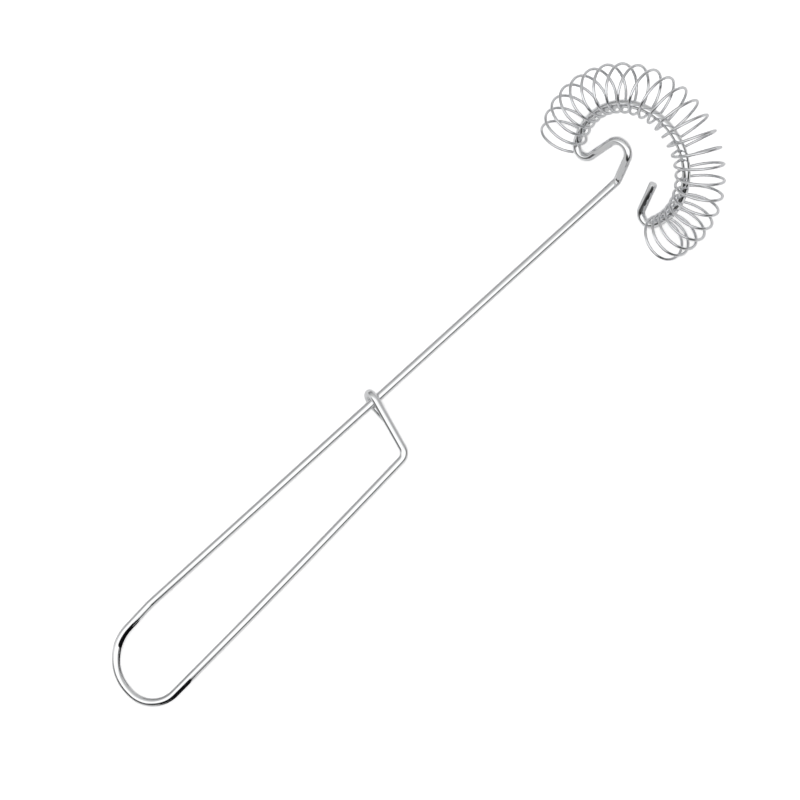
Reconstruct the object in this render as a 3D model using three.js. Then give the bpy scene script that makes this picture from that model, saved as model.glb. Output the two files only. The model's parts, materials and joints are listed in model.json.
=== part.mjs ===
// Spiral whisk, in millimetres and degrees.
//
// One stiff round wire makes the whole frame. Followed from the cut end behind the shaft, it hooks round
// the shaft, crosses to the corner, runs back as the lower side of the handle, turns round the closed end
// of the loop, runs forward as the upper side of the handle and as the shaft, and kinks down into the head.
// The head lies in one plane: a leg to its middle, a U-bend, a leg out to the ring, the C-shaped ring and
// a last leg turned inward, which ends in a flat cut.
// A spring of thin wire is threaded on the ring and is held there by the two inward legs.
//
// The whisk lies as it rests on a table: on the tail of its hook and on the end turns of the spring.
// +X runs from the handle to the head, +Z is up, and the origin is the bottom centre of its box.

import * as THREE from 'three';

// Wires
const FRAME_WIRE = 2.6;
const SPRING_WIRE = 0.9;
const SEAT_GAP = 0.42;

// Shaft and handle. Lengths run along the shaft, and widths across it, from wire centre to wire centre.
// The lower side bows a little outward in its middle.
const SHAFT_LENGTH = 99;
const HANDLE_LENGTH = 117.5;
const LOOP_WIDTH = 26.27;
const LOOP_SLANT = 1.8;
const CORNER_WIDTH = 19;
const SIDE_BOW = 0.56;
const SIDE_BEND = 4000;
const SHOULDER_LENGTH = 23.5;
const SHOULDER_DROP = 2;
const SHOULDER_BEND = 15.4;
const LOOP_UPPER_BEND = 13.8;
const LOOP_LOWER_BEND = 9.9;

// Hook. The cross leg passes over the shaft, turns round it and ends in a tail under it.
const HOOK_GAP = 0.2;
const CORNER_BEND = 3.2;
const CROSS_LEG_LEAN = 4.36;
const HOOK_STEP = 1.93;
const TAIL_LENGTH = 6.3;

// Head. In its plane, places along its middle line are measured from the ring's centre towards the gap.
const HEAD_TILT = 41.15;
const RING_RADIUS = 19.12;
const KINK_PLACE = 7.05;
const KINK_BEND = 1.9;
const LEG_ANGLE = 14.26;
const LEG_OFFSET = 9.39;
const NECK_BEND = 3.66;
const END_BEND = 3.3;
const TIP_OFFSET = 9.52;
const TIP_PLACE = -1.68;

// Spring. Its inner side bears on the ring's wire, so its own centre stands off to the outside.
// The ring's end bends hold its end turns: they are spread and shifted, and they lean towards the others.
// The first end is at the neck and the last at the tip.
const SPRING_RADIUS = 7.13;
const SPRING_TURNS = 24.8;
const SPRING_LIFT = 6.7;
const FIRST_REACH = 8.3;
const FIRST_SHIFT = 4.74;
const LAST_REACH = 6.2;
const LAST_SHIFT = 5.58;
const LAST_TWIST = 3.64;
const END_LEAN = 16.9;
const END_SETTLE = 2.58;
const END_CLOSE = 2.4;
const CLOSE_SPAN = 0.5;

// Fineness of the surfaces, and of the points on which gaps are measured
const FRAME_SIDES = 12;
const BEND_STEP = 15;
const LEAST_STEPS = 3;
const RING_STEPS = 32;
const SPRING_SIDES = 6;
const SPRING_STEPS = 16;
const MEASURE_STEPS = 48;
const MEASURE_SPACING = 0.25;

// The most of a straight leg that the bends at its two ends may take
const BEND_SHARE = 0.96;

// Times that the resting tilt is corrected
const REST_PASSES = 4;

const rad = THREE.MathUtils.degToRad;
const deg = THREE.MathUtils.radToDeg;
const vec = (x, y, z = 0) => new THREE.Vector3(x, y, z);

// A wire's centreline as stations, which stand close together only where the wire bends.
class WireLine extends THREE.Curve {
  constructor(stations) {
    super();
    this.stations = stations;
    this.last = stations.length - 1;
  }

  getPointAt(u) {
    return this.stations[Math.round(u * this.last)].clone();
  }

  getTangentAt(u) {
    const at = Math.round(u * this.last);
    const here = this.stations[at];
    const tangent = vec(0, 0);
    if (at > 0) tangent.add(here.clone().sub(this.stations[at - 1]).normalize());
    if (at < this.last) tangent.add(this.stations[at + 1].clone().sub(here).normalize());
    return tangent.normalize();
  }
}

// A wire's section as a polygon with the area of the round wire
function roundSection(diameter, sides) {
  const wedge = (2 * Math.PI) / sides;
  const reach = (diameter / 2) * Math.sqrt(wedge / Math.sin(wedge));
  const corners = [];
  for (let index = 0; index < sides; index += 1) {
    corners.push(new THREE.Vector2(reach * Math.cos(wedge * index), reach * Math.sin(wedge * index)));
  }
  return new THREE.Shape(corners);
}

function wireMesh(name, stations, diameter, sides, material) {
  const line = new WireLine(stations);
  const section = roundSection(diameter, sides);
  const geometry = new THREE.ExtrudeGeometry(section, { steps: line.last, extrudePath: line });
  const mesh = new THREE.Mesh(geometry, material);
  mesh.name = name;
  return mesh;
}

// How far each corner's bend reaches along its legs. Two bends that need more than the leg between them
// are tightened until they share it.
function bendRuns(corners) {
  const runs = corners.map(([corner, radius], index) => {
    if (radius === undefined) return 0;
    const back = corners[index - 1][0].clone().sub(corner);
    const onward = corners[index + 1][0].clone().sub(corner);
    return radius / Math.tan(back.angleTo(onward) / 2);
  });
  for (let index = 1; index < runs.length; index += 1) {
    const leg = corners[index][0].distanceTo(corners[index - 1][0]);
    const share = Math.min(1, (BEND_SHARE * leg) / (runs[index - 1] + runs[index]));
    runs[index - 1] *= share;
    runs[index] *= share;
  }
  return runs;
}

// The stations of a wire that runs straight from corner to corner and turns at each on its bend radius.
// A corner is [point, bend radius], and the first and the last have no bend.
function bentWire(corners) {
  const runs = bendRuns(corners);
  const stations = [corners[0][0]];
  for (let index = 1; index < corners.length - 1; index += 1) {
    const corner = corners[index][0];
    const back = corners[index - 1][0].clone().sub(corner).normalize();
    const onward = corners[index + 1][0].clone().sub(corner).normalize();
    const opening = back.angleTo(onward);
    const turn = Math.PI - opening;
    const inward = back.clone().add(onward).normalize();
    const centre = corner.clone().addScaledVector(inward, runs[index] / Math.cos(opening / 2));
    const start = corner.clone().addScaledVector(back, runs[index]);
    const axis = onward.clone().cross(back).normalize();
    const steps = Math.max(LEAST_STEPS, Math.ceil(turn / rad(BEND_STEP)));
    for (let step = 0; step <= steps; step += 1) {
      const spoke = start.clone().sub(centre).applyAxisAngle(axis, (turn * step) / steps);
      stations.push(spoke.add(centre));
    }
  }
  stations.push(corners[corners.length - 1][0]);
  return stations;
}

// Shaft frame: the kink is at the origin, the shaft runs to it along +X, and the handle lies in plane XY.
// The head's plane holds the Y axis and slopes up from the gap to the far side of the ring.
const alongHead = vec(-Math.cos(rad(HEAD_TILT)), 0, -Math.sin(rad(HEAD_TILT)));
const acrossHead = vec(0, 1, 0);
const aboveHead = vec(-Math.sin(rad(HEAD_TILT)), 0, Math.cos(rad(HEAD_TILT)));

function headPoint(along, across, above = 0) {
  return vec(0, 0)
    .addScaledVector(alongHead, along - KINK_PLACE)
    .addScaledVector(acrossHead, across)
    .addScaledVector(aboveHead, above);
}

// Where the ring's arc gives way to an end bend: that bend touches the ring inside, and the inward leg.
// The leg lies at the given offset from the head's middle line, where it passes the ring's centre.
function ringEndAngle(legOffset) {
  const slope = Math.tan(rad(LEG_ANGLE));
  const offset = legOffset + END_BEND / Math.cos(rad(LEG_ANGLE));
  const reach = RING_RADIUS - END_BEND;
  const a = 1 + slope * slope;
  const b = 2 * slope * offset;
  const c = offset * offset - reach * reach;
  const along = (-b + Math.sqrt(b * b - 4 * a * c)) / (2 * a);
  return Math.atan2(offset + slope * along, along);
}

// The corner in which the ring's tangent at its end would meet the inward leg.
function endCorner(angle, legOffset) {
  const slope = Math.tan(rad(LEG_ANGLE));
  const along = RING_RADIUS * Math.cos(angle);
  const across = RING_RADIUS * Math.sin(angle);
  const run = (across - legOffset - slope * along) / (Math.cos(angle) + slope * Math.sin(angle));
  return [along + run * Math.sin(angle), across - run * Math.cos(angle)];
}

function frameStations() {
  const lift = FRAME_WIRE + HOOK_GAP;
  const climb = Math.tan(Math.asin(lift / CORNER_WIDTH));
  const legSlope = CROSS_LEG_LEAN / CORNER_WIDTH;
  const tailX = -SHAFT_LENGTH - HOOK_STEP;
  const loopX = -SHAFT_LENGTH - HANDLE_LENGTH;
  const corner = vec(-SHAFT_LENGTH - CROSS_LEG_LEAN, -CORNER_WIDTH);
  const loopEnd = vec(loopX + LOOP_SLANT, -LOOP_WIDTH);
  const sideMiddle = corner.clone().lerp(loopEnd, 0.5).add(vec(0, -SIDE_BOW));
  const handle = [
    [vec(tailX, -TAIL_LENGTH, -lift)],
    [vec(tailX, lift, -lift), lift],
    [vec(-SHAFT_LENGTH + legSlope * lift, lift, climb * (CORNER_WIDTH + lift)), lift],
    [corner, CORNER_BEND],
    [sideMiddle, SIDE_BEND],
    [loopEnd, LOOP_LOWER_BEND],
    [vec(loopX, -SHOULDER_DROP), LOOP_UPPER_BEND],
    [vec(loopX + SHOULDER_LENGTH, 0), SHOULDER_BEND],
  ];

  const slope = Math.tan(rad(LEG_ANGLE));
  const neckAlong = KINK_PLACE / 2 - LEG_OFFSET / (2 * slope);
  const neckEnd = ringEndAngle(LEG_OFFSET);
  const tipEnd = ringEndAngle(TIP_OFFSET);
  const [neckCornerAlong, neckCornerAcross] = endCorner(neckEnd, LEG_OFFSET);
  const [tipCornerAlong, tipCornerAcross] = endCorner(tipEnd, TIP_OFFSET);
  const ringPoint = (angle) => headPoint(RING_RADIUS * Math.cos(angle), RING_RADIUS * Math.sin(angle));
  const neck = [
    [headPoint(KINK_PLACE, 0), KINK_BEND],
    [headPoint(neckAlong, LEG_OFFSET + slope * neckAlong), NECK_BEND],
    [headPoint(neckCornerAlong, neckCornerAcross), END_BEND],
    [ringPoint(neckEnd)],
  ];
  const tip = [
    [ringPoint(-tipEnd)],
    [headPoint(tipCornerAlong, -tipCornerAcross), END_BEND],
    [headPoint(TIP_PLACE, -TIP_OFFSET - slope * TIP_PLACE)],
  ];

  // Each end bend starts or ends on the ring's own end, so that station comes only once.
  const ringStep = (2 * Math.PI - neckEnd - tipEnd) / RING_STEPS;
  const ring = [];
  for (let step = 1; step < RING_STEPS; step += 1) ring.push(ringPoint(neckEnd + ringStep * step));
  return [...bentWire([...handle, ...neck]).slice(0, -1), ...ring, ...bentWire(tip).slice(1)];
}

// A point of the spring. Whole turns lie outermost, and half turns lie against the ring's inner side.
function springPoint(turn) {
  const start = deg(ringEndAngle(LEG_OFFSET)) - FIRST_REACH + FIRST_SHIFT;
  const end = 360 - deg(ringEndAngle(TIP_OFFSET)) + LAST_REACH + LAST_SHIFT;
  const fromStart = SPRING_TURNS / 2 + turn;
  const fromEnd = SPRING_TURNS / 2 - turn;
  const first = Math.exp(-fromStart / END_SETTLE);
  const last = Math.exp(-fromEnd / END_SETTLE);
  const closing = (distance) => END_CLOSE * Math.max(0, 1 - distance / CLOSE_SPAN) ** 2;
  const side = Math.sin(2 * Math.PI * turn);
  const even = start + ((end - start) * fromStart) / SPRING_TURNS;
  const shifted = even - FIRST_SHIFT * first - LAST_SHIFT * last - LAST_TWIST * last * side;
  const around = rad(shifted + closing(fromStart) - closing(fromEnd));
  const leaning = around + rad(END_LEAN * (first - last));

  const seat = (FRAME_WIRE + SPRING_WIRE) / 2 + SEAT_GAP;
  const standOff = SPRING_RADIUS - seat;
  const inner = RING_RADIUS + standOff * Math.cos(rad(SPRING_LIFT)) - SPRING_RADIUS;
  const outward = SPRING_RADIUS * (1 + Math.cos(2 * Math.PI * turn));
  const above = standOff * Math.sin(rad(SPRING_LIFT)) - SPRING_RADIUS * side;
  const along = inner * Math.cos(around) + outward * Math.cos(leaning);
  const across = inner * Math.sin(around) + outward * Math.sin(leaning);
  return headPoint(along, across, above);
}

function springStations(stepsPerTurn) {
  const steps = Math.round(SPRING_TURNS * stepsPerTurn);
  const stations = [];
  for (let step = 0; step <= steps; step += 1) {
    stations.push(springPoint(SPRING_TURNS * (step / steps - 0.5)));
  }
  // Each cut end runs straight on for one wire diameter.
  const runOn = (end, before) => end.clone().add(end.clone().sub(before).setLength(SPRING_WIRE));
  const first = runOn(stations[0], stations[1]);
  const last = runOn(stations[steps], stations[steps - 1]);
  return [first, ...stations, last];
}

// Gaps between wires, measured between points on their centrelines
function leastDistance(points, others, skip = 0) {
  let least = Infinity;
  points.forEach((point, index) => {
    for (let other = skip ? index + skip : 0; other < others.length; other += 1) {
      least = Math.min(least, point.distanceTo(others[other]));
    }
  });
  return least;
}

function closePoints(stations, spacing) {
  const points = [];
  for (let index = 1; index < stations.length; index += 1) {
    const start = stations[index - 1];
    const pieces = Math.ceil(start.distanceTo(stations[index]) / spacing);
    for (let piece = 0; piece < pieces; piece += 1) {
      points.push(start.clone().lerp(stations[index], piece / pieces));
    }
  }
  return points;
}

const springPoints = springStations(MEASURE_STEPS);
const framePoints = closePoints(frameStations(), MEASURE_SPACING);
const ownGap = leastDistance(springPoints, springPoints, MEASURE_STEPS / 2) - SPRING_WIRE;
const seatGap = leastDistance(springPoints, framePoints) - (FRAME_WIRE + SPRING_WIRE) / 2;
console.log(`spring: least gap to itself ${ownGap.toFixed(2)} mm, to the frame ${seatGap.toFixed(2)} mm`);

const polishedWire = new THREE.MeshStandardMaterial({ color: 0xd9dadc, roughness: 0.12, metalness: 1 });
const springWire = new THREE.MeshStandardMaterial({ color: 0xcfd0d3, roughness: 0.18, metalness: 1 });

const whisk = new THREE.Group();
whisk.add(wireMesh('frame_wire', frameStations(), FRAME_WIRE, FRAME_SIDES, polishedWire));
whisk.add(wireMesh('coil_spring', springStations(SPRING_STEPS), SPRING_WIRE, SPRING_SIDES, springWire));

// Resting pose: the whisk turns about the Y axis until it is equally low on both sides of its shaft's middle,
// which puts the tail of the hook and the spring on the table.
function lowest(group, isHandle) {
  group.updateMatrixWorld(true);
  let low = vec(0, 0, Infinity);
  const point = vec(0, 0);
  group.children.forEach((mesh) => {
    const places = mesh.geometry.attributes.position;
    for (let index = 0; index < places.count; index += 1) {
      point.fromBufferAttribute(places, index);
      const inHandle = point.x < -SHAFT_LENGTH / 2;
      point.applyMatrix4(mesh.matrixWorld);
      if (inHandle === isHandle && point.z < low.z) low = point.clone();
    }
  });
  return low;
}

for (let pass = 0; pass < REST_PASSES; pass += 1) {
  const heel = lowest(whisk, true);
  const head = lowest(whisk, false);
  whisk.rotation.y += Math.atan2(head.z - heel.z, head.x - heel.x);
}

const part = new THREE.Group();
part.add(whisk);
const box = new THREE.Box3().setFromObject(part, true);
const middle = box.getCenter(vec(0, 0));
whisk.position.set(-middle.x, -middle.y, -box.min.z);

export default part;
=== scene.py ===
"""Looks of a spiral whisk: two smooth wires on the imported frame, a white studio and the photo's view."""

import json
import math

import bpy
import numpy as np
from mathutils import Matrix, Vector


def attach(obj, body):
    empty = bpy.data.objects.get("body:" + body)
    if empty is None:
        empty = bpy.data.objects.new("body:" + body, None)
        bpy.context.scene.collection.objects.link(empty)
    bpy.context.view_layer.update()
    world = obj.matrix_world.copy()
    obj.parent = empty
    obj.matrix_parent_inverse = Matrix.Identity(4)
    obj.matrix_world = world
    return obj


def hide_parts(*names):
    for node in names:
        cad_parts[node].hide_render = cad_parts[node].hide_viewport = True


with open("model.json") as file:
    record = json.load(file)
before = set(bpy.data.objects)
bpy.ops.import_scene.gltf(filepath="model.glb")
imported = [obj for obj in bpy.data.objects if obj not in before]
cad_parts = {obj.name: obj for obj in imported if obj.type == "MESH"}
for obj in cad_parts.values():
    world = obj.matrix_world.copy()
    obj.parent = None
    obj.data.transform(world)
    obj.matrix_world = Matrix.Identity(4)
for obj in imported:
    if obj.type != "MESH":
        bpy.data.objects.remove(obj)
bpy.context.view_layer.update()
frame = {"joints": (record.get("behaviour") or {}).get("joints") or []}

MM = 0.001

# Wires, in millimetres
FRAME_WIRE = 2.6
SPRING_WIRE = 0.9
SEAT_GAP = 0.42

# Shaft and handle
SHAFT_LENGTH = 99
HANDLE_LENGTH = 117.5
LOOP_WIDTH = 26.27
LOOP_SLANT = 1.8
CORNER_WIDTH = 19
SIDE_BOW = 0.56
SIDE_BEND = 4000
SHOULDER_LENGTH = 23.5
SHOULDER_DROP = 2
SHOULDER_BEND = 15.4
LOOP_UPPER_BEND = 13.8
LOOP_LOWER_BEND = 9.9

# Hook
HOOK_GAP = 0.2
CORNER_BEND = 3.2
CROSS_LEG_LEAN = 4.36
HOOK_STEP = 1.93
TAIL_LENGTH = 6.3

# Head
HEAD_TILT = 41.15
RING_RADIUS = 19.12
KINK_PLACE = 7.05
KINK_BEND = 1.9
LEG_ANGLE = 14.26
LEG_OFFSET = 9.39
NECK_BEND = 3.66
END_BEND = 3.3
TIP_OFFSET = 9.52
TIP_PLACE = -1.68

# Spring
SPRING_RADIUS = 7.13
SPRING_TURNS = 24.8
SPRING_LIFT = 6.7
FIRST_REACH = 8.3
FIRST_SHIFT = 4.74
LAST_REACH = 6.2
LAST_SHIFT = 5.58
LAST_TWIST = 3.64
END_LEAN = 16.9
END_SETTLE = 2.58
END_CLOSE = 2.4
CLOSE_SPAN = 0.5

# Fineness
FRAME_SIDES = 32
SPRING_SIDES = 14
BEND_STEP = 5
LEAST_STEPS = 3
RING_STEPS = 120
SPRING_STEPS = 44
BEND_SHARE = 0.96

# Wire ends: how far the cut's edge is rounded off, as a share of the wire's radius, and in how many rings
CUT_ROUNDING = 0.14
CUT_RINGS = 3

# A direction that neither wire starts along, from which the first normal is taken
OFF_LINE = (0.1, 0.2, 1)

# Steel: a noise's usual range, and the stretch, scale and detail of the drawing lines and the smudges
NOISE_RANGE = (0.3, 0.7)
LINE_STRETCH = (0.05, 3, 3)
LINE_SCALE = 1.6
LINE_DETAIL = 4
SMUDGE_STRETCH = (0.12, 0.5, 0.5)
SMUDGE_SCALE = 1
SMUDGE_DETAIL = 3
BUMP_STRENGTH = 0.35


def rad(degrees):
    return math.radians(degrees)


def point(x, y, z=0):
    return np.array([x, y, z], float)


def unit(vector):
    return vector / np.linalg.norm(vector)


def turned(vector, axis, angle):
    """The vector turned about the axis by the right hand rule."""
    across = np.cross(axis, vector)
    along = axis * (axis @ vector)
    return vector * math.cos(angle) + across * math.sin(angle) + along * (1 - math.cos(angle))


def angle_between(one, other):
    return math.acos(max(-1, min(1, unit(one) @ unit(other))))


def bend_runs(corners):
    """How far each corner's bend reaches along its legs."""
    runs = [0] * len(corners)
    for index in range(1, len(corners) - 1):
        corner, bend = corners[index]
        opening = angle_between(corners[index - 1][0] - corner, corners[index + 1][0] - corner)
        runs[index] = bend / math.tan(opening / 2)
    for index in range(1, len(corners)):
        leg = np.linalg.norm(corners[index][0] - corners[index - 1][0])
        share = min(1, BEND_SHARE * leg / (runs[index - 1] + runs[index]))
        runs[index - 1] *= share
        runs[index] *= share
    return runs


def bent_wire(corners):
    """Points of a wire that runs straight from corner to corner and turns at each on its bend radius."""
    runs = bend_runs(corners)
    points = [corners[0][0]]
    for index in range(1, len(corners) - 1):
        corner = corners[index][0]
        back = unit(corners[index - 1][0] - corner)
        onward = unit(corners[index + 1][0] - corner)
        opening = angle_between(back, onward)
        turn = math.pi - opening
        centre = corner + unit(back + onward) * runs[index] / math.cos(opening / 2)
        start = corner + back * runs[index]
        axis = unit(np.cross(onward, back))
        steps = max(LEAST_STEPS, math.ceil(turn / rad(BEND_STEP)))
        for step in range(steps + 1):
            points.append(centre + turned(start - centre, axis, turn * step / steps))
    points.append(corners[-1][0])
    return points


def head_point(along, across, above=0):
    """A point of the head: along its middle line from the ring's centre, across that line, and above it."""
    tilt = rad(HEAD_TILT)
    from_kink = along - KINK_PLACE
    return point(
        -math.cos(tilt) * from_kink - math.sin(tilt) * above,
        across,
        -math.sin(tilt) * from_kink + math.cos(tilt) * above,
    )


def ring_end_angle(leg_offset):
    """Where the ring's arc gives way to an end bend."""
    slope = math.tan(rad(LEG_ANGLE))
    offset = leg_offset + END_BEND / math.cos(rad(LEG_ANGLE))
    reach = RING_RADIUS - END_BEND
    a = 1 + slope * slope
    b = 2 * slope * offset
    c = offset * offset - reach * reach
    along = (-b + math.sqrt(b * b - 4 * a * c)) / (2 * a)
    return math.atan2(offset + slope * along, along)


def end_corner(angle, leg_offset):
    """The corner in which the ring's tangent at its end would meet the inward leg."""
    slope = math.tan(rad(LEG_ANGLE))
    along = RING_RADIUS * math.cos(angle)
    across = RING_RADIUS * math.sin(angle)
    run = (across - leg_offset - slope * along) / (math.cos(angle) + slope * math.sin(angle))
    return along + run * math.sin(angle), across - run * math.cos(angle)


def ring_point(angle):
    return head_point(RING_RADIUS * math.cos(angle), RING_RADIUS * math.sin(angle))


def frame_line():
    """The frame wire's centreline: the kink is the origin, and the shaft runs to it along +X."""
    lift = FRAME_WIRE + HOOK_GAP
    climb = math.tan(math.asin(lift / CORNER_WIDTH))
    leg_slope = CROSS_LEG_LEAN / CORNER_WIDTH
    tail_x = -SHAFT_LENGTH - HOOK_STEP
    loop_x = -SHAFT_LENGTH - HANDLE_LENGTH
    corner = point(-SHAFT_LENGTH - CROSS_LEG_LEAN, -CORNER_WIDTH)
    loop_end = point(loop_x + LOOP_SLANT, -LOOP_WIDTH)
    side_middle = (corner + loop_end) / 2 + point(0, -SIDE_BOW)
    handle = [
        (point(tail_x, -TAIL_LENGTH, -lift), None),
        (point(tail_x, lift, -lift), lift),
        (point(-SHAFT_LENGTH + leg_slope * lift, lift, climb * (CORNER_WIDTH + lift)), lift),
        (corner, CORNER_BEND),
        (side_middle, SIDE_BEND),
        (loop_end, LOOP_LOWER_BEND),
        (point(loop_x, -SHOULDER_DROP), LOOP_UPPER_BEND),
        (point(loop_x + SHOULDER_LENGTH, 0), SHOULDER_BEND),
    ]

    slope = math.tan(rad(LEG_ANGLE))
    neck_along = KINK_PLACE / 2 - LEG_OFFSET / (2 * slope)
    neck_end = ring_end_angle(LEG_OFFSET)
    tip_end = ring_end_angle(TIP_OFFSET)
    neck_corner = end_corner(neck_end, LEG_OFFSET)
    tip_corner = end_corner(tip_end, TIP_OFFSET)
    neck = [
        (head_point(KINK_PLACE, 0), KINK_BEND),
        (head_point(neck_along, LEG_OFFSET + slope * neck_along), NECK_BEND),
        (head_point(*neck_corner), END_BEND),
        (ring_point(neck_end), None),
    ]
    tip = [
        (ring_point(-tip_end), None),
        (head_point(tip_corner[0], -tip_corner[1]), END_BEND),
        (head_point(TIP_PLACE, -TIP_OFFSET - slope * TIP_PLACE), None),
    ]
    step = (2 * math.pi - neck_end - tip_end) / RING_STEPS
    ring = [ring_point(neck_end + step * index) for index in range(1, RING_STEPS)]
    return bent_wire(handle + neck)[:-1] + ring + bent_wire(tip)[1:]


def spring_point(turn):
    """A point of the spring: whole turns lie outermost, and half turns against the ring's inner side."""
    start = math.degrees(ring_end_angle(LEG_OFFSET)) - FIRST_REACH + FIRST_SHIFT
    end = 360 - math.degrees(ring_end_angle(TIP_OFFSET)) + LAST_REACH + LAST_SHIFT
    from_start = SPRING_TURNS / 2 + turn
    from_end = SPRING_TURNS / 2 - turn
    first = math.exp(-from_start / END_SETTLE)
    last = math.exp(-from_end / END_SETTLE)
    side = math.sin(2 * math.pi * turn)
    even = start + (end - start) * from_start / SPRING_TURNS
    shifted = even - FIRST_SHIFT * first - LAST_SHIFT * last - LAST_TWIST * last * side
    shifted += END_CLOSE * max(0, 1 - from_start / CLOSE_SPAN) ** 2
    shifted -= END_CLOSE * max(0, 1 - from_end / CLOSE_SPAN) ** 2
    around = rad(shifted)
    leaning = around + rad(END_LEAN * (first - last))

    stand_off = SPRING_RADIUS - (FRAME_WIRE + SPRING_WIRE) / 2 - SEAT_GAP
    inner = RING_RADIUS + stand_off * math.cos(rad(SPRING_LIFT)) - SPRING_RADIUS
    outward = SPRING_RADIUS * (1 + math.cos(2 * math.pi * turn))
    above = stand_off * math.sin(rad(SPRING_LIFT)) - SPRING_RADIUS * side
    return head_point(
        inner * math.cos(around) + outward * math.cos(leaning),
        inner * math.sin(around) + outward * math.sin(leaning),
        above,
    )


def spring_line():
    """The spring's centreline, whose cut ends run straight on for one wire diameter."""
    steps = round(SPRING_TURNS * SPRING_STEPS)
    points = [spring_point(SPRING_TURNS * (step / steps - 0.5)) for step in range(steps + 1)]
    first = points[0] + unit(points[0] - points[1]) * SPRING_WIRE
    last = points[-1] + unit(points[-1] - points[-2]) * SPRING_WIRE
    return [first] + points + [last]


# The joint turns about the ring's axis, so it says where the ring's centre is and how the shaft tilts.
slide = frame["joints"][0]
ring_centre = point(*slide["pos_m"])
rest_tilt = math.atan2(-slide["axis"][0], slide["axis"][2]) - rad(HEAD_TILT)
line_centre = head_point(0, 0)


def in_row(line):
    """Points of a centreline in metres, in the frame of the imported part."""
    offsets = (np.array(line) - line_centre) * MM
    c = math.cos(rest_tilt)
    s = math.sin(rest_tilt)
    x = offsets[:, 0] * c - offsets[:, 2] * s
    z = offsets[:, 0] * s + offsets[:, 2] * c
    return np.stack([x, offsets[:, 1], z], 1) + ring_centre


def tangents_of(line):
    legs = np.diff(line, axis=0)
    legs /= np.linalg.norm(legs, axis=1)[:, None]
    ahead = np.vstack([legs, legs[-1:]])
    behind = np.vstack([legs[:1], legs])
    tangents = ahead + behind
    return tangents / np.linalg.norm(tangents, axis=1)[:, None]


def carried_normals(line, tangents):
    """A normal at each point, carried along the line without twisting round it."""
    normal = unit(np.cross(tangents[0], point(*OFF_LINE)))
    normals = [normal]
    for index in range(1, len(line)):
        normal = unit(normal - tangents[index] * (normal @ tangents[index]))
        normals.append(normal)
    return np.array(normals)


def cut_profile(radius):
    """How far each ring of a rounded cut stands back from the end, and its radius, from the side inward."""
    rounding = CUT_ROUNDING * radius
    rings = []
    for index in range(CUT_RINGS + 1):
        angle = math.pi / 2 * index / CUT_RINGS
        rings.append((rounding * (1 - math.sin(angle)), radius - rounding * (1 - math.cos(angle))))
    return rings


def wire_object(name, line, diameter, sides):
    """A round wire as one closed mesh, with flat cut ends whose edges are slightly rounded."""
    radius = diameter / 2 * MM
    tangents = tangents_of(line)
    normals = carried_normals(line, tangents)
    lengths = np.concatenate([[0], np.cumsum(np.linalg.norm(np.diff(line, axis=0), axis=1))])
    cut = cut_profile(radius)
    rings = []
    for back, reach in reversed(cut):
        rings.append((line[0] + tangents[0] * back, tangents[0], normals[0], reach, lengths[0] + back))
    for index in range(1, len(line) - 1):
        rings.append((line[index], tangents[index], normals[index], radius, lengths[index]))
    for back, reach in cut:
        rings.append((line[-1] - tangents[-1] * back, tangents[-1], normals[-1], reach, lengths[-1] - back))

    vertices = []
    straight = []
    for centre, tangent, normal, reach, length in rings:
        binormal = np.cross(tangent, normal)
        for side in range(sides):
            angle = 2 * math.pi * side / sides
            vertices.append(centre + (normal * math.cos(angle) + binormal * math.sin(angle)) * reach)
            straight.append((length / MM, reach / MM * math.cos(angle), reach / MM * math.sin(angle)))
    faces = []
    for ring in range(len(rings) - 1):
        for side in range(sides):
            here = ring * sides + side
            beside = ring * sides + (side + 1) % sides
            faces.append((here, beside, beside + sides, here + sides))
    faces.append(tuple(reversed(range(sides))))
    faces.append(tuple(range((len(rings) - 1) * sides, len(rings) * sides)))

    mesh = bpy.data.meshes.new(name)
    mesh.from_pydata([tuple(v) for v in vertices], [], faces)
    smooth = [True] * (len(faces) - 2) + [False, False]
    mesh.polygons.foreach_set("use_smooth", smooth)
    place = mesh.attributes.new("straight_place", "FLOAT_VECTOR", "POINT")
    place.data.foreach_set("vector", np.array(straight, np.float32).ravel())
    mesh.update()
    piece = bpy.data.objects.new(name, mesh)
    bpy.context.scene.collection.objects.link(piece)
    return piece


def new_material(name):
    """An empty material, its nodes and its links."""
    material = bpy.data.materials.new(name)
    material.use_nodes = True
    nodes = material.node_tree.nodes
    nodes.clear()
    return material, nodes, material.node_tree.links


def noise(nodes, links, vector, scale, detail):
    texture = nodes.new("ShaderNodeTexNoise")
    texture.inputs["Scale"].default_value = scale
    texture.inputs["Detail"].default_value = detail
    links.new(vector, texture.inputs["Vector"])
    return texture.outputs["Fac"]


def stretched(nodes, links, vector, scale):
    mapping = nodes.new("ShaderNodeMapping")
    mapping.inputs["Scale"].default_value = scale
    links.new(vector, mapping.inputs["Vector"])
    return mapping.outputs["Vector"]


def ranged(nodes, links, value, low, high, start=NOISE_RANGE[0], end=NOISE_RANGE[1]):
    """The value, spread from its range, which is a noise's unless given, to low and high."""
    spread = nodes.new("ShaderNodeMapRange")
    spread.inputs["From Min"].default_value = start
    spread.inputs["From Max"].default_value = end
    spread.inputs["To Min"].default_value = low
    spread.inputs["To Max"].default_value = high
    links.new(value, spread.inputs["Value"])
    return spread.outputs["Result"]


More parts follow.
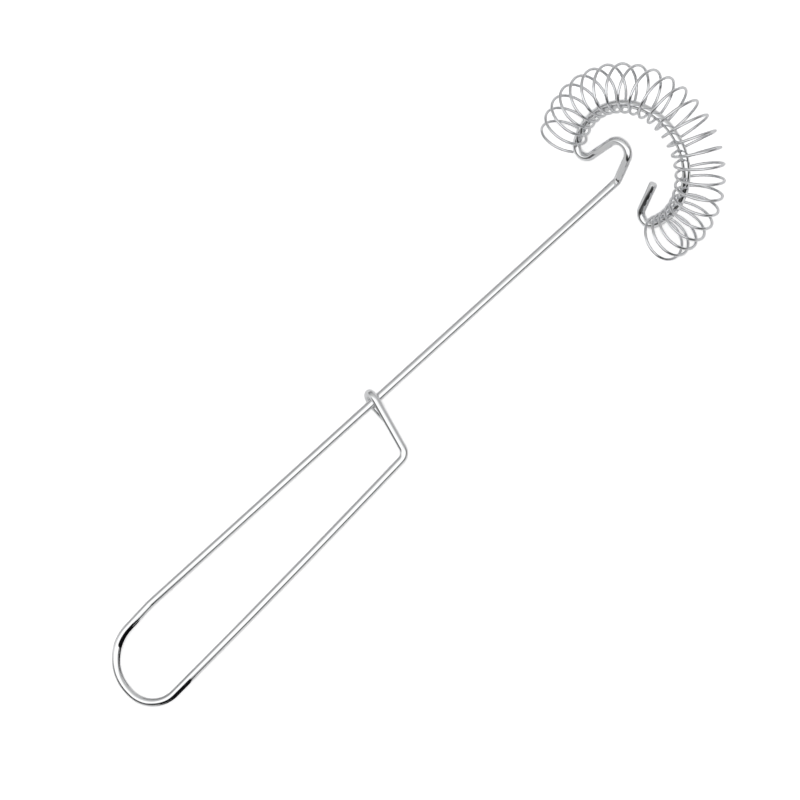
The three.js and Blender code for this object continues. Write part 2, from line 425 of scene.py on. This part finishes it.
def polished_steel(name, dark, light, smooth, rough, line_depth):
    """Bright drawn wire: fine lines along it, soft smudges, and small changes of colour and roughness."""
    material, nodes, links = new_material(name)
    output = nodes.new("ShaderNodeOutputMaterial")
    shader = nodes.new("ShaderNodeBsdfPrincipled")
    shader.inputs["Metallic"].default_value = 1
    links.new(shader.outputs["BSDF"], output.inputs["Surface"])

    place = nodes.new("ShaderNodeAttribute")
    place.attribute_name = "straight_place"
    along_lines = stretched(nodes, links, place.outputs["Vector"], LINE_STRETCH)
    lines = noise(nodes, links, along_lines, LINE_SCALE, LINE_DETAIL)
    along_smudges = stretched(nodes, links, place.outputs["Vector"], SMUDGE_STRETCH)
    smudges = noise(nodes, links, along_smudges, SMUDGE_SCALE, SMUDGE_DETAIL)

    colour = nodes.new("ShaderNodeMix")
    colour.data_type = "RGBA"
    colour.inputs["A"].default_value = (*dark, 1)
    colour.inputs["B"].default_value = (*light, 1)
    links.new(ranged(nodes, links, lines, 0, 1), colour.inputs["Factor"])
    links.new(colour.outputs["Result"], shader.inputs["Base Color"])
    links.new(ranged(nodes, links, smudges, smooth, rough), shader.inputs["Roughness"])

    bump = nodes.new("ShaderNodeBump")
    bump.inputs["Strength"].default_value = BUMP_STRENGTH
    bump.inputs["Distance"].default_value = line_depth * MM
    links.new(lines, bump.inputs["Height"])
    links.new(bump.outputs["Normal"], shader.inputs["Normal"])
    return material


def clothe(piece, material, body, node):
    piece.data.materials.append(material)
    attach(piece, body)
    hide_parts(node)


frame_piece = wire_object("frame_wire_smooth", in_row(frame_line()), FRAME_WIRE, FRAME_SIDES)
frame_steel = polished_steel(
    "frame_steel",
    dark=(0.74, 0.75, 0.765),
    light=(0.82, 0.825, 0.83),
    smooth=0.02,
    rough=0.07,
    line_depth=0.008,
)
clothe(frame_piece, frame_steel, "frame", "frame_wire")

spring_piece = wire_object("coil_spring_smooth", in_row(spring_line()), SPRING_WIRE, SPRING_SIDES)
spring_steel = polished_steel(
    "spring_steel",
    dark=(0.68, 0.69, 0.71),
    light=(0.77, 0.775, 0.785),
    smooth=0.03,
    rough=0.09,
    line_depth=0.005,
)
clothe(spring_piece, spring_steel, "spring", "coil_spring")


# Studio, in metres: a white floor and world, and a tent, flags and a card that only reflections see
FLOOR_HALF = 3
FLOOR_COLOUR = 0.9
FLOOR_GLOW = 0.6
FLOOR_GLOW_MIRRORED = 0.08
WORLD_FILL = 0.35

# Tent: a dome from just above the floor to nearly overhead. Its directions are in degrees.
TENT_RADIUS = 0.55
TENT_FOOT = 0.5
TENT_RISE = 89.4
TENT_AZIMUTHS = 180
TENT_ELEVATIONS = 60

# The tent's white and grey sides: how bright they are, and where each brightness gives way to the next
WHITE_SIDE = 225
LOW_WHITE = 0.85
TOP_WHITE = 1.35
WHITE_CHANGE = (20, 50)
LOW_GREY = 0.27
MIDDLE_GREY = 0.6
TOP_GREY = 0.8
LOW_GREY_CHANGE = (5, 45)
TOP_GREY_CHANGE = (45, 70)
SIDE_CHANGE = (-0.3, 0.12)

# The tent's low corners: azimuths from and to, softness, elevations of the fading, and how bright
LOW_CORNERS = [
    (152, 232, 8, 20, 34, 0.15),
    (-14, 48, 8, 14, 28, 0.7),
    (284, 332, 6, 22, 34, 0.06),
]

# The tent's openings: azimuths from and to, softness, elevations from and to, softness, and how dark
OPENINGS = [
    (228, 287, 4, 5, 31, 3, 1),
    (194, 232, 7, 24, 47, 6, 1),
    (226, 242, 4, 28, 48, 5, 1),
    (166, 200, 6, 18, 37, 4, 0.9),
]
OPENING_SHADE = 0.005

# Black flags beside the handle's closed end
FLAG_BLACK = (0.012, 0.012, 0.014, 1)
FLAG_LIFT = 0.0003

# Upright flag: its place along y, and its outline by x and height
UPRIGHT_FLAG_Y = -0.06
UPRIGHT_FLAG = [
    (-0.150, 0.04), (-0.135, 0.095), (-0.124, 0.088), (-0.1165, 0.05), (-0.1125, 0.03), (-0.110, 0.015)
]

# Lying flags: left, right, front and back
LYING_FLAGS = [
    (-0.122, -0.106, -0.06, -0.0275),
    (-0.1175, -0.106, -0.014, 0.001),
]

# Near flag, upright and black only towards +Y: left, right, its place along y, and height
NEAR_FLAG = (-0.1149, -0.1085, -0.005, 0.011)

# Pale card by the kink: its place along x, its low edge from y to y at a height, and its top's two heights
CARD_X = 0.0925
CARD_EDGES = (-0.0085, 0.0128, 0.0086)
CARD_TOPS = (0.0152, 0.016)
CARD_SHADE = 0.62

# Lamps, turned to the middle of the table: name, place, side and watts
LAMPS = [
    ("key_light", (0.3, 0.5, 1.4), 1.4, 9),
    ("fill_light", (-0.6, -0.5, 1.2), 1.2, 3),
]
TABLE_MIDDLE = (0, 0, 0)


def smooth_step(start, end, value):
    share = max(0, min(1, (value - start) / (end - start)))
    return share * share * (3 - 2 * share)


def between(start, end, soft, value):
    """1 between start and end and 0 outside, with soft edges."""
    return smooth_step(start - soft, start + soft, value) * (1 - smooth_step(end - soft, end + soft, value))


def between_azimuths(start, end, soft, azimuth):
    """The same for azimuths, which start again after a full turn."""
    middle = (start + end) / 2
    offset = (azimuth - middle + 180) % 360 - 180
    return between(start - middle, end - middle, soft, offset)


def tent_shade(azimuth, elevation):
    """How bright the tent is in a direction: its two sides, then its low corners, then its openings."""
    towards_white = math.cos(rad(elevation)) * math.cos(rad(azimuth - WHITE_SIDE))
    white = LOW_WHITE + (TOP_WHITE - LOW_WHITE) * smooth_step(*WHITE_CHANGE, elevation)
    grey = LOW_GREY + (MIDDLE_GREY - LOW_GREY) * smooth_step(*LOW_GREY_CHANGE, elevation)
    grey += (TOP_GREY - MIDDLE_GREY) * smooth_step(*TOP_GREY_CHANGE, elevation)
    shade = grey + (white - grey) * smooth_step(*SIDE_CHANGE, towards_white)
    for start, end, soft, low, high, corner_shade in LOW_CORNERS:
        share = between_azimuths(start, end, soft, azimuth) * (1 - smooth_step(low, high, elevation))
        shade += (corner_shade - shade) * share
    dark = 0
    for start, end, soft, low, high, fade, depth in OPENINGS:
        share = between_azimuths(start, end, soft, azimuth) * between(low, high, fade, elevation)
        dark = max(dark, depth * share)
    return shade * (1 - dark) + OPENING_SHADE * dark


def stage_piece(name, vertices, faces, materials):
    """A piece of the studio, which is no part of the whisk."""
    mesh = bpy.data.meshes.new(name)
    mesh.from_pydata(vertices, [], faces)
    for material in materials:
        mesh.materials.append(material)
    piece = bpy.data.objects.new(name, mesh)
    bpy.context.scene.collection.objects.link(piece)
    return piece


def show_in_reflections_only(piece):
    piece.visible_camera = False
    piece.visible_diffuse = False
    piece.visible_shadow = False
    piece.visible_transmission = False


def glowing_material(name):
    """A material that only glows, and the socket of its strength."""
    material, nodes, links = new_material(name)
    output = nodes.new("ShaderNodeOutputMaterial")
    glow = nodes.new("ShaderNodeEmission")
    links.new(glow.outputs["Emission"], output.inputs["Surface"])
    return material, glow.inputs["Strength"]


def tent():
    """A dome round the whisk, whose brightness the wire mirrors."""
    vertices = []
    shades = []
    for row in range(TENT_ELEVATIONS + 1):
        elevation = TENT_FOOT + TENT_RISE * row / TENT_ELEVATIONS
        for column in range(TENT_AZIMUTHS):
            azimuth = 360 * column / TENT_AZIMUTHS
            reach = TENT_RADIUS * math.cos(rad(elevation))
            x = reach * math.cos(rad(azimuth))
            y = reach * math.sin(rad(azimuth))
            vertices.append((x, y, TENT_RADIUS * math.sin(rad(elevation))))
            shades.append(tent_shade(azimuth, elevation))
    faces = []
    for row in range(TENT_ELEVATIONS):
        for column in range(TENT_AZIMUTHS):
            here = row * TENT_AZIMUTHS + column
            beside = row * TENT_AZIMUTHS + (column + 1) % TENT_AZIMUTHS
            faces.append((here, here + TENT_AZIMUTHS, beside + TENT_AZIMUTHS, beside))

    material, strength = glowing_material("tent_cloth")
    level = material.node_tree.nodes.new("ShaderNodeAttribute")
    level.attribute_name = "shade"
    material.node_tree.links.new(level.outputs["Fac"], strength)
    piece = stage_piece("studio_tent", vertices, faces, [material])
    shade = piece.data.attributes.new("shade", "FLOAT", "POINT")
    shade.data.foreach_set("value", np.array(shades, np.float32))
    show_in_reflections_only(piece)


def black_material(name, one_sided):
    """Matt black. One-sided black is clear from behind."""
    material, nodes, links = new_material(name)
    output = nodes.new("ShaderNodeOutputMaterial")
    paint = nodes.new("ShaderNodeBsdfDiffuse")
    paint.inputs["Color"].default_value = FLAG_BLACK
    surface = paint.outputs["BSDF"]
    if one_sided:
        side = nodes.new("ShaderNodeNewGeometry")
        clear = nodes.new("ShaderNodeBsdfTransparent")
        either = nodes.new("ShaderNodeMixShader")
        links.new(side.outputs["Backfacing"], either.inputs[0])
        links.new(surface, either.inputs[1])
        links.new(clear.outputs["BSDF"], either.inputs[2])
        surface = either.outputs["Shader"]
    links.new(surface, output.inputs["Surface"])
    return material


def dark_flags():
    """Black cards beside the handle's closed end, which the two bends there mirror as black patches."""
    vertices = []
    for x, height in UPRIGHT_FLAG:
        vertices += [(x, UPRIGHT_FLAG_Y, FLAG_LIFT), (x, UPRIGHT_FLAG_Y, height)]
    faces = [(index, index + 2, index + 3, index + 1) for index in range(0, len(vertices) - 2, 2)]
    quads = []
    for left, right, front, back in LYING_FLAGS:
        corners = [(left, front), (right, front), (right, back), (left, back)]
        quads.append([(x, y, FLAG_LIFT) for x, y in corners])
    left, right, y, height = NEAR_FLAG
    corners = [(right, FLAG_LIFT), (left, FLAG_LIFT), (left, height), (right, height)]
    quads.append([(x, y, z) for x, z in corners])
    for quad in quads:
        first = len(vertices)
        vertices += quad
        faces.append((first, first + 1, first + 2, first + 3))

    both_sides = black_material("flag_black", one_sided=False)
    one_side = black_material("near_flag_black", one_sided=True)
    piece = stage_piece("studio_flag", vertices, faces, [both_sides, one_side])
    piece.data.polygons[-1].material_index = 1
    show_in_reflections_only(piece)


def pale_card():
    """A small pale card that keeps the neck's legs light."""
    left, right, low = CARD_EDGES
    left_top, right_top = CARD_TOPS
    corners = [(left, low), (right, low), (right, right_top), (left, left_top)]
    material, strength = glowing_material("card_pale")
    strength.default_value = CARD_SHADE
    vertices = [(CARD_X, y, z) for y, z in corners]
    piece = stage_piece("studio_card", vertices, [(0, 1, 2, 3)], [material])
    show_in_reflections_only(piece)


def greater_of(nodes, links, one, other):
    greater = nodes.new("ShaderNodeMath")
    greater.operation = "MAXIMUM"
    links.new(one, greater.inputs[0])
    links.new(other, greater.inputs[1])
    return greater.outputs["Value"]


def floor():
    """A white floor, which glows a little for the camera and less in reflections."""
    material, nodes, links = new_material("floor_white")
    output = nodes.new("ShaderNodeOutputMaterial")
    paint = nodes.new("ShaderNodeBsdfDiffuse")
    paint.inputs["Color"].default_value = (FLOOR_COLOUR, FLOOR_COLOUR, FLOOR_COLOUR, 1)
    glow = nodes.new("ShaderNodeEmission")
    path = nodes.new("ShaderNodeLightPath")
    mirrored = ranged(nodes, links, path.outputs["Is Glossy Ray"], 0, FLOOR_GLOW_MIRRORED, 0, 1)
    seen = ranged(nodes, links, path.outputs["Is Camera Ray"], 0, FLOOR_GLOW, 0, 1)
    links.new(greater_of(nodes, links, mirrored, seen), glow.inputs["Strength"])
    both = nodes.new("ShaderNodeAddShader")
    links.new(paint.outputs["BSDF"], both.inputs[0])
    links.new(glow.outputs["Emission"], both.inputs[1])
    links.new(both.outputs["Shader"], output.inputs["Surface"])
    corners = [(-1, -1), (1, -1), (1, 1), (-1, 1)]
    vertices = [(x * FLOOR_HALF, y * FLOOR_HALF, 0) for x, y in corners]
    stage_piece("studio_floor", vertices, [(0, 1, 2, 3)], [material])


def white_world():
    """White to the camera, in mirrors and through glass, and dimmer for all other light."""
    world = bpy.data.worlds.new("studio_world")
    world.use_nodes = True
    nodes = world.node_tree.nodes
    links = world.node_tree.links
    nodes.clear()
    output = nodes.new("ShaderNodeOutputWorld")
    background = nodes.new("ShaderNodeBackground")
    background.inputs["Color"].default_value = (1, 1, 1, 1)
    path = nodes.new("ShaderNodeLightPath")
    seen = greater_of(nodes, links, path.outputs["Is Camera Ray"], path.outputs["Is Glossy Ray"])
    seen = greater_of(nodes, links, seen, path.outputs["Is Transmission Ray"])
    strength = ranged(nodes, links, seen, WORLD_FILL, 1, 0, 1)
    links.new(strength, background.inputs["Strength"])
    links.new(background.outputs["Background"], output.inputs["Surface"])
    bpy.context.scene.world = world


def area_light(name, place, size, watts):
    """A square lamp that reflections don't show."""
    light = bpy.data.lights.new(name, "AREA")
    light.shape = "SQUARE"
    light.size = size
    light.energy = watts
    lamp = bpy.data.objects.new(name, light)
    lamp.location = place
    lamp.rotation_euler = (Vector(TABLE_MIDDLE) - Vector(place)).to_track_quat("-Z", "Y").to_euler()
    lamp.visible_glossy = False
    bpy.context.scene.collection.objects.link(lamp)


tent()
dark_flags()
pale_card()
floor()
white_world()
for name, place, size, watts in LAMPS:
    area_light(name, place, size, watts)


# Camera: where it stands, and how it looks. The roll turns the picture's right side towards the floor.
CAMERA_PLACE = Vector((7.1, -100.92, 560.14)) * MM
CAMERA_AZIMUTH = 4.451
CAMERA_ELEVATION = 80.196
CAMERA_ROLL = 46.285
CAMERA_LENS = 83.03
SENSOR_WIDTH = 36


def camera():
    azimuth = rad(CAMERA_AZIMUTH)
    elevation = rad(CAMERA_ELEVATION)
    back = Vector((
        math.cos(elevation) * math.sin(azimuth),
        -math.cos(elevation) * math.cos(azimuth),
        math.sin(elevation),
    ))
    level_right = Vector((math.cos(azimuth), math.sin(azimuth), 0))
    level_up = back.cross(level_right)
    right = level_right * math.cos(rad(CAMERA_ROLL)) - level_up * math.sin(rad(CAMERA_ROLL))
    up = back.cross(right)
    data = bpy.data.cameras.new("photo_camera")
    data.lens = CAMERA_LENS
    data.sensor_width = SENSOR_WIDTH
    piece = bpy.data.objects.new("photo_camera", data)
    turn = Matrix((right, up, back)).transposed().to_4x4()
    piece.matrix_world = Matrix.Translation(CAMERA_PLACE) @ turn
    bpy.context.scene.collection.objects.link(piece)
    bpy.context.scene.camera = piece


camera()
bpy.context.scene.view_settings.view_transform = "Standard"
